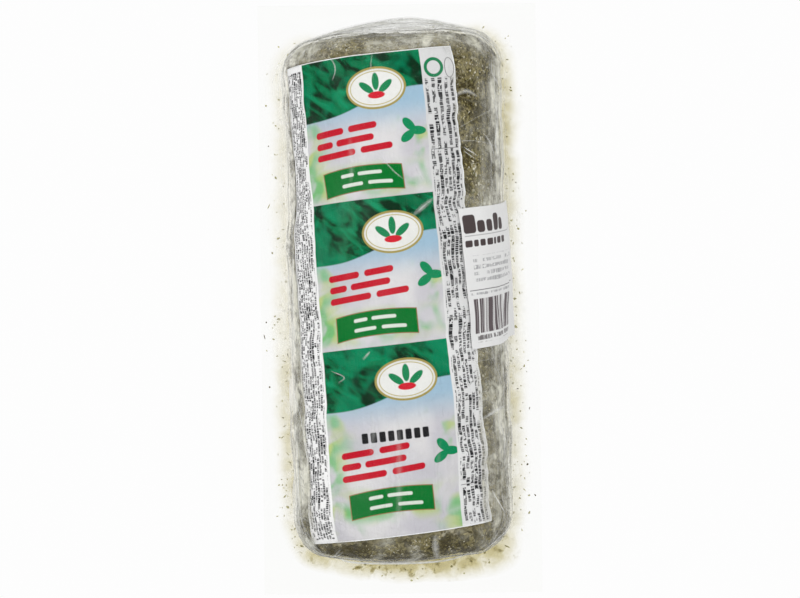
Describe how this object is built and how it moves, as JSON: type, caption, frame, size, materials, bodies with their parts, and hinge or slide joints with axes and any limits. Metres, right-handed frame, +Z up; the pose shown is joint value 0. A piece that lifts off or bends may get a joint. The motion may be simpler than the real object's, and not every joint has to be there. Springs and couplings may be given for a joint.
{
  "type": "goat cheese log, vacuum packed",
  "caption": "Herb-crusted goat cheese log in a clear vacuum pouch, with a long paper label on top and a small price label on its side.",
  "frame": {"origin": "on the table, under the middle of the pouch's outline", "axes": "+Z up, +Y along the log towards the gathered end, +X to the side that has the price label"},
  "size_m": [0.1084, 0.23, 0.0736],
  "materials": {
    "herb_crust_in_film": "herb crusted cheese under clear film",
    "green_label": "printed label under film",
    "white_paper": "matt price label"
  },
  "bodies": {
    "root": {"vacuum_pack": "herb_crust_in_film", "product_label": "green_label", "price_label": "white_paper"}
  },
  "joints": []
}
